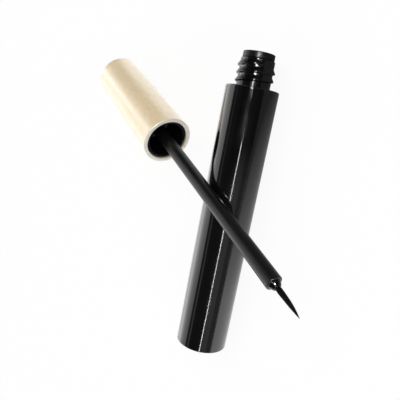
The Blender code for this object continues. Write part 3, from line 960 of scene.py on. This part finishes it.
# %% Brush
BRUSH_LENGTH = 0.0080
BRUSH_SLICE = 0.0016
BRUSH_MOUTH_RADIUS = 0.00060
BRUSH_OUTLINE = [
    (0.10, 0.00070),
    (0.30, 0.00063),
    (0.55, 0.00054),
    (0.76, 0.00036),
    (0.88, 0.00022),
    (1.0, 0.00004),
]
BRUSH_STAGGER_SHARE = 0.14
BRUSH_STAGGER_SPREAD = (0.2, 1.0)
BRUSH_LEAN = 0.00018
BRUSH_LEAN_ANGLE = math.radians(142)
BRUSH_LEAN_START_SHARE = 0.35
STRAND_COUNT = 420
STRAND_SIDES = 5
STRAND_RINGS = 9
STRAND_RADIUS = 0.000027
STRAND_TIP_SHARE = 0.1
STRAND_FULLNESS = 4
STRAND_WANDER = 0.000012
STRAND_SEED = 7
brush_back = brush_hole_end + BRUSH_GAP
brush_front = brush_back + BRUSH_SLICE
brush_tip = nose_end + BRUSH_LENGTH
bundle_heights = [(brush_front, BRUSH_ROOT_RADIUS), (nose_end, BRUSH_MOUTH_RADIUS)]
bundle_heights += [(nose_end + BRUSH_LENGTH * share, radius) for share, radius in BRUSH_OUTLINE]


def bundle_radius(height):
    """Radius of the whole bundle at a height along the applicator."""
    for (low, low_radius), (high, high_radius) in zip(bundle_heights, bundle_heights[1:]):
        if height <= high:
            share = max(0, (height - low) / (high - low))
            return low_radius + (high_radius - low_radius) * share
    return bundle_heights[-1][1]


def unit_strand():
    """One strand of height 1 and radius 1, thinning to its point."""
    strand = bmesh.new()
    bmesh.ops.create_cone(
        strand,
        cap_ends=True,
        cap_tris=False,
        segments=STRAND_SIDES,
        radius1=1,
        radius2=STRAND_TIP_SHARE,
        depth=1,
        matrix=Matrix.Translation((0, 0, 0.5)),
    )
    for ring in range(1, STRAND_RINGS):
        bmesh.ops.bisect_plane(
            strand,
            geom=strand.verts[:] + strand.edges[:] + strand.faces[:],
            plane_co=(0, 0, ring / STRAND_RINGS),
            plane_no=(0, 0, 1),
        )
    for vert in strand.verts:
        thinned = vert.co.z**STRAND_FULLNESS
        thickness = (1 - thinned) + thinned * STRAND_TIP_SHARE
        widening = math.hypot(vert.co.x, vert.co.y)
        vert.co.x *= thickness / widening
        vert.co.y *= thickness / widening
    mesh = bpy.data.meshes.new("strand")
    strand.to_mesh(mesh)
    strand.free()
    return mesh


strand_mesh = unit_strand()
draw = random.Random(STRAND_SEED)
golden_turn = math.pi * (3 - math.sqrt(5))
brush_builder = bmesh.new()
for index in range(STRAND_COUNT):
    root_share = math.sqrt((index + 0.5) / STRAND_COUNT)
    root_angle = index * golden_turn
    end_share = 1 - BRUSH_STAGGER_SHARE * root_share**2 * draw.uniform(*BRUSH_STAGGER_SPREAD)
    length = (brush_tip - brush_front) * end_share
    wander = draw.uniform(-STRAND_WANDER, STRAND_WANDER)
    known = set(brush_builder.verts)
    brush_builder.from_mesh(strand_mesh)
    for vert in brush_builder.verts:
        if vert in known:
            continue
        height = brush_front + vert.co.z * length
        outwards = bundle_radius(height) * root_share + wander * vert.co.z
        beyond = max(0, (height - nose_end) / BRUSH_LENGTH - BRUSH_LEAN_START_SHARE)
        lean = BRUSH_LEAN * (beyond / (1 - BRUSH_LEAN_START_SHARE)) ** 2
        lean_x = lean * math.cos(BRUSH_LEAN_ANGLE)
        lean_y = lean * math.sin(BRUSH_LEAN_ANGLE)
        vert.co.x = vert.co.x * STRAND_RADIUS + outwards * math.cos(root_angle) + lean_x
        vert.co.y = vert.co.y * STRAND_RADIUS + outwards * math.sin(root_angle) + lean_y
        vert.co.z = height
root = bmesh.ops.create_circle(
    brush_builder,
    cap_ends=True,
    segments=STEM_SIDES,
    radius=BRUSH_ROOT_RADIUS + STRAND_RADIUS,
    matrix=Matrix.Translation((0, 0, brush_back)),
)
root_faces = list({face for vert in root["verts"] for face in vert.link_faces})
raised = bmesh.ops.extrude_face_region(brush_builder, geom=root_faces, use_keep_orig=True)["geom"]
raised_verts = [item for item in raised if isinstance(item, bmesh.types.BMVert)]
bmesh.ops.translate(brush_builder, verts=raised_verts, vec=(0, 0, BRUSH_SLICE + WELD))
tuft = finished("tuft", brush_builder, applicator_place)
dress(tuft, inked_black, "applicator", "brush_tuft")
bpy.data.meshes.remove(strand_mesh)
print("brush:", STRAND_COUNT, "strands")

# %% [markdown]
# The table is a plain white floor. The floor and the room each have to be three things: what the
# camera sees, what gloss black mirrors, and what lights rough surfaces. Light Path tells these
# rays apart, so one helper puts three shaders together by the kind of ray.

# %% Helpers for the studio
def combine(tree, operation, *values):
    """One Math node of its values."""
    node = tree.nodes.new("ShaderNodeMath")
    node.operation = operation
    for value, socket in zip(values, node.inputs):
        feed(tree, value, socket)
    return node.outputs["Value"]


def blend_shaders(tree, share, first, second):
    """A shader that goes from one to another."""
    mix = tree.nodes.new("ShaderNodeMixShader")
    feed(tree, share, mix.inputs["Fac"])
    tree.links.new(first, mix.inputs[1])
    tree.links.new(second, mix.inputs[2])
    return mix.outputs["Shader"]


def by_kind_of_ray(tree, lighting, mirrored, seen):
    """One shader for rough surfaces, one for mirrors and glass, and one for the camera."""
    rays = tree.nodes.new("ShaderNodeLightPath").outputs
    glossy, clear = rays["Is Glossy Ray"], rays["Is Transmission Ray"]
    is_mirrored = combine(tree, "MAXIMUM", glossy, clear)
    unseen = blend_shaders(tree, is_mirrored, lighting, mirrored)
    return blend_shaders(tree, rays["Is Camera Ray"], unseen, seen)


# %% [markdown]
# To the camera the floor is as white as paper that is fully lit. A small share of its brightness
# is left to the lamps, so that the object still has its shadow. Rough surfaces get plain white
# paper.

# %% Floor
FLOOR_SIZE = 3.0
FLOOR_WHITE = (0.90, 0.90, 0.90, 1.0)
SEEN_SHADOW_SHARE = 0.08
builder = bmesh.new()
bmesh.ops.create_grid(
    builder,
    x_segments=1,
    y_segments=1,
    size=FLOOR_SIZE / 2,
    matrix=Matrix.Translation((0, 0, -BODY_RADIUS)),
)
floor = finished("floor", builder, Matrix.Identity(4))
white_paper = bpy.data.materials.new("white_paper")
white_paper.use_nodes = True
tree = white_paper.node_tree
tree.nodes.clear()
paper = tree.nodes.new("ShaderNodeBsdfDiffuse")
paper.inputs["Color"].default_value = FLOOR_WHITE
white = tree.nodes.new("ShaderNodeEmission")
white.inputs["Strength"].default_value = 1.0
seen_floor = blend_shaders(
    tree, SEEN_SHADOW_SHARE, white.outputs["Emission"], paper.outputs["BSDF"]
)
floor.data.materials.append(white_paper)
print("floor at", round(-BODY_RADIUS, 4))

# %% [markdown]
# The bottle's lower half mirrors the floor beside it. In that mirror the floor glows with painted
# light that isn't evenly bright, and its fades are painted shade. In front, on the camera's side,
# it is bright beside the base and falls off slantwise towards the mouth, and it is dark again far
# out in front. Behind, it stays bright, and dims only past the mouth. Each fade is a ramp over the
# place on the floor. Most of this floor is still lit by the lamps, so the stem's shadow shows in
# the mirror as well.

# %% Floor as the bottle mirrors it
MIRRORED_SHADOW_SHARE = 0.70
MIRRORED_GLOW = 1.3
COOL_WHITE = (0.96, 0.98, 1.0, 1.0)
FRONT_BRIGHT = 0.88
FRONT_DARK = 0.10
FRONT_FADE = (0.018, 0.078)
FRONT_FADE_SLANT = 0.4
OUTER_FADE = (-0.08, -0.25)
FRONT_EDGE = (0.02, 0.0)
MOUTH_FADE = (0.085, 0.14)
MOUTH_DIM = 0.40
spot = split(tree, tree.nodes.new("ShaderNodeTexCoord").outputs["Object"])
floor_x, floor_y = spot["X"], spot["Y"]
slanted = combine(tree, "MULTIPLY_ADD", floor_y, -FRONT_FADE_SLANT, floor_x)
along_front = ramp(tree, slanted, *FRONT_FADE, FRONT_BRIGHT, FRONT_DARK, "LINEAR")
outer = ramp(tree, floor_y, *OUTER_FADE, 0.0, 1.0)
front = blend(tree, outer, along_front, FRONT_DARK)
behind = ramp(tree, floor_x, *MOUTH_FADE, 1.0, MOUTH_DIM)
is_front = ramp(tree, floor_y, *FRONT_EDGE, 0.0, 1.0)
brightness = blend(tree, is_front, behind, front)
# Painted light: the floor glows in the mirror with the faded brightness, a painted shade where it
# dims.
glow = tree.nodes.new("ShaderNodeEmission")
glow.inputs["Color"].default_value = COOL_WHITE
glow_strength = combine(tree, "MULTIPLY", brightness, MIRRORED_GLOW)
tree.links.new(glow_strength, glow.inputs["Strength"])
shaded = tree.nodes.new("ShaderNodeBsdfDiffuse")
tree.links.new(brightness, shaded.inputs["Color"])
mirrored_floor = blend_shaders(
    tree, MIRRORED_SHADOW_SHARE, glow.outputs["Emission"], shaded.outputs["BSDF"]
)
output = tree.nodes.new("ShaderNodeOutputMaterial")
whole_floor = by_kind_of_ray(tree, paper.outputs["BSDF"], mirrored_floor, seen_floor)
tree.links.new(whole_floor, output.inputs["Surface"])
print("floor:", len(tree.nodes), "nodes")

# %% [markdown]
# Gloss black shows nothing but the room, so the room is part of the model. Behind the bottle
# stands a large soft window. Its reflection is the grey band along one side. Overhead and behind
# the camera the studio is dark, which keeps the middle of the bottle black. The room is a function
# of the angle about the bottle's axis: 0 degrees is the horizon behind the bottle, 90 overhead,
# 180 in front. Each angle has two brightnesses, one towards the bottle's mouth and one towards its
# base. A second list runs along the bottle, from -1 at its base's side to 1 at its mouth's, and
# sets how the window goes on past the mouth, where only the cap mirrors it.

# %% The room's brightness
ROOM_BY_ANGLE = [
    (0, 1.80, 1.80),
    (12, 1.60, 1.40),
    (28, 1.05, 0.85),
    (43, 1.00, 0.70),
    (49.5, 0.80, 0.55),
    (51, 0.05, 0.05),
    (60, 0.04, 0.04),
    (62, 0.12, 0.32),
    (66, 0.12, 0.32),
    (68, 0.03, 0.03),
    (90, 0.02, 0.02),
    (126, 0.03, 0.03),
    (131, 0.24, 0.24),
    (156, 0.26, 0.26),
    (162, 0.13, 0.13),
    (180, 0.13, 0.13),
]
WINDOW_ALONG = [
    (-1.0, 1.0),
    (-0.10, 1.0),
    (0.06, 0.92),
    (0.12, 0.95),
    (0.17, 2.00),
    (0.28, 1.50),
    (0.40, 0.75),
    (0.54, 0.35),
    (0.66, 0.10),
    (0.80, 0.03),
    (1.0, 0.03),
]
HALF_TURN = 180
mouth_stops = [(degrees / HALF_TURN, mouth) for degrees, mouth, base in ROOM_BY_ANGLE]
base_stops = [(degrees / HALF_TURN, base) for degrees, mouth, base in ROOM_BY_ANGLE]
window_stops = [((along + 1) / 2, strength) for along, strength in WINDOW_ALONG]


def listed(tree, value, stops):
    """Brightness read from a list of (position from 0 to 1, brightness)."""
    node = tree.nodes.new("ShaderNodeValToRGB")
    node.color_ramp.elements[0].position = 0
    node.color_ramp.elements[1].position = 1
    for position, brightness in stops[1:-1]:
        node.color_ramp.elements.new(position)
    for stop, (position, brightness) in zip(node.color_ramp.elements, stops):
        stop.color = (brightness, brightness, brightness, 1.0)
    tree.links.new(value, node.inputs["Fac"])
    return node.outputs["Color"]


print("room:", len(mouth_stops), "angles,", len(window_stops), "places along the window")

# %% [markdown]
# The world looks these lists up for each direction. The window's edges stand a few degrees higher
# towards the base, so the angle is lowered there first. Rough surfaces see a plain, even sky
# instead, so that colours render as they are written, and the camera sees white.

# %% World
WHITE = (1.0, 1.0, 1.0, 1.0)
AMBIENT = 0.53
WINDOW_RISE = 7.0
RISE_SPAN = (-0.35, -0.05)
RISE_END = (0.50, 0.60)
BASE_TO_MOUTH = (-0.45, 0.05)
FRONT_NEAR_MOUTH = 0.08
FRONT_SPAN = (-0.18, -0.03)
FRONT_TO_BEHIND = (-0.05, 0.05)


def even_sky(tree, brightness):
    """White light of one brightness from everywhere."""
    sky = tree.nodes.new("ShaderNodeBackground")
    sky.inputs["Color"].default_value = WHITE
    sky.inputs["Strength"].default_value = brightness
    return sky.outputs["Background"]


world = bpy.data.worlds.new("studio")
bpy.context.scene.world = world
world.use_nodes = True
tree = world.node_tree
tree.nodes.clear()
direction = split(tree, tree.nodes.new("ShaderNodeTexCoord").outputs["Generated"])
to_mouth, to_back, to_top = direction["X"], direction["Y"], direction["Z"]
angle = combine(tree, "ARCTAN2", to_top, to_back)
half_turns = combine(tree, "DIVIDE", angle, math.pi)
rise = ramp(tree, to_mouth, *RISE_SPAN, WINDOW_RISE / HALF_TURN, 0.0)
below_top = ramp(tree, half_turns, *RISE_END, 1.0, 0.0)
lowering = combine(tree, "MULTIPLY", rise, below_top)
lowered = combine(tree, "SUBTRACT", half_turns, lowering)
mouth_walls = listed(tree, lowered, mouth_stops)
base_walls = listed(tree, lowered, base_stops)
is_mouth_side = ramp(tree, to_mouth, *BASE_TO_MOUTH, 0.0, 1.0)
walls = blend(tree, is_mouth_side, base_walls, mouth_walls)
window_place = combine(tree, "MULTIPLY_ADD", to_mouth, 0.5, 0.5)
window = listed(tree, window_place, window_stops)
front_share = ramp(tree, to_mouth, *FRONT_SPAN, 1.0, FRONT_NEAR_MOUTH)
is_behind = ramp(tree, to_back, *FRONT_TO_BEHIND, 0.0, 1.0)
room = tree.nodes.new("ShaderNodeBackground")
tree.links.new(walls, room.inputs["Color"])
tree.links.new(blend(tree, is_behind, front_share, window), room.inputs["Strength"])
output = tree.nodes.new("ShaderNodeOutputWorld")
studio = by_kind_of_ray(
    tree, even_sky(tree, AMBIENT), room.outputs["Background"], even_sky(tree, 1.0)
)
tree.links.new(studio, output.inputs["Surface"])
print("world:", len(tree.nodes), "nodes")

# %% [markdown]
# Two kinds of lamp finish the light. Three soft ones light surfaces but aren't mirrored, because
# the room above already holds their reflections: the key above the bottle's mouth, a fill in
# front, and a low one beyond the bottle's base, which bleaches the cap's far side.

# %% Soft lamps
SOFT_LAMPS = {
    "key": ((0.58, 0.0, 0.88), (1.0, 0.6), 2.35),
    "fill": ((-0.25, -0.85, 0.45), (0.8, 0.5), 2.6),
    "side": ((-0.90, 0.30, 0.30), (0.5, 0.5), 4.5),
}


def soft_lamp(name, place, aim, size, brightness):
    """A rectangular lamp of an even brightness, its long side level."""
    data = bpy.data.lights.new(name, "AREA")
    data.shape = "RECTANGLE"
    data.size, data.size_y = size
    data.energy = brightness * math.pi * size[0] * size[1]
    lamp = bpy.data.objects.new(name, data)
    lamp.location = place
    lamp.rotation_mode = "QUATERNION"
    lamp.rotation_quaternion = (Vector(aim) - Vector(place)).to_track_quat("-Z", "Y")
    bpy.context.scene.collection.objects.link(lamp)
    return lamp


for name, (place, size, brightness) in SOFT_LAMPS.items():
    lamp = soft_lamp(name, place, CAMERA_TARGET, size, brightness)
    lamp.visible_glossy = False
    print(name, "lamp at", place)

# %% [markdown]
# The other lamps are there only for their reflections, so they light nothing. A long narrow strip
# stands above the camera and makes the thin streak down the bottle, and a short one in line with
# it repeats the streak at the shoulder. Each strip is given by its angle about the bottle, where
# it starts and ends along the bottle, its width and its brightness. Another strip beyond the mouth
# and a small square lamp put the points of light on the thread, and the square one also makes the
# glint on the wet nose.

# %% Lamps for glints
GLINT_DISTANCE = 0.6
STRIPS = {
    "strip": (130, -0.45, 0.03, 0.012, 20.0),
    "shoulder_strip": (130, 0.100, 0.112, 0.012, 7.0),
    "thread_strip": (148, 0.24, 0.32, 0.012, 20.0),
}
NOSE_LAMP_DIRECTION = Vector((0.30, -0.545, 0.78)).normalized()
NOSE_LAMP_SIZE = (0.16, 0.09)
NOSE_LAMP_TURN = math.radians(-66)
NOSE_LAMP_BRIGHTNESS = 60.0
for name, (degrees, start, end, width, brightness) in STRIPS.items():
    middle = (start + end) / 2
    out_y = math.cos(math.radians(degrees)) * GLINT_DISTANCE
    out_z = math.sin(math.radians(degrees)) * GLINT_DISTANCE
    place, aim = (middle, out_y, out_z), (middle, 0, 0)
    strip = soft_lamp(name, place, aim, (end - start, width), brightness)
    strip.visible_diffuse = False
nose = rim_centre + to_brush * STEM_REACH
nose_lamp_place = nose + NOSE_LAMP_DIRECTION * GLINT_DISTANCE
nose_lamp = soft_lamp("nose_lamp", nose_lamp_place, nose, NOSE_LAMP_SIZE, NOSE_LAMP_BRIGHTNESS)
nose_lamp.rotation_quaternion @= Quaternion((0, 0, 1), NOSE_LAMP_TURN)
nose_lamp.visible_diffuse = False
print("glints:", len(STRIPS), "strips and the nose lamp")
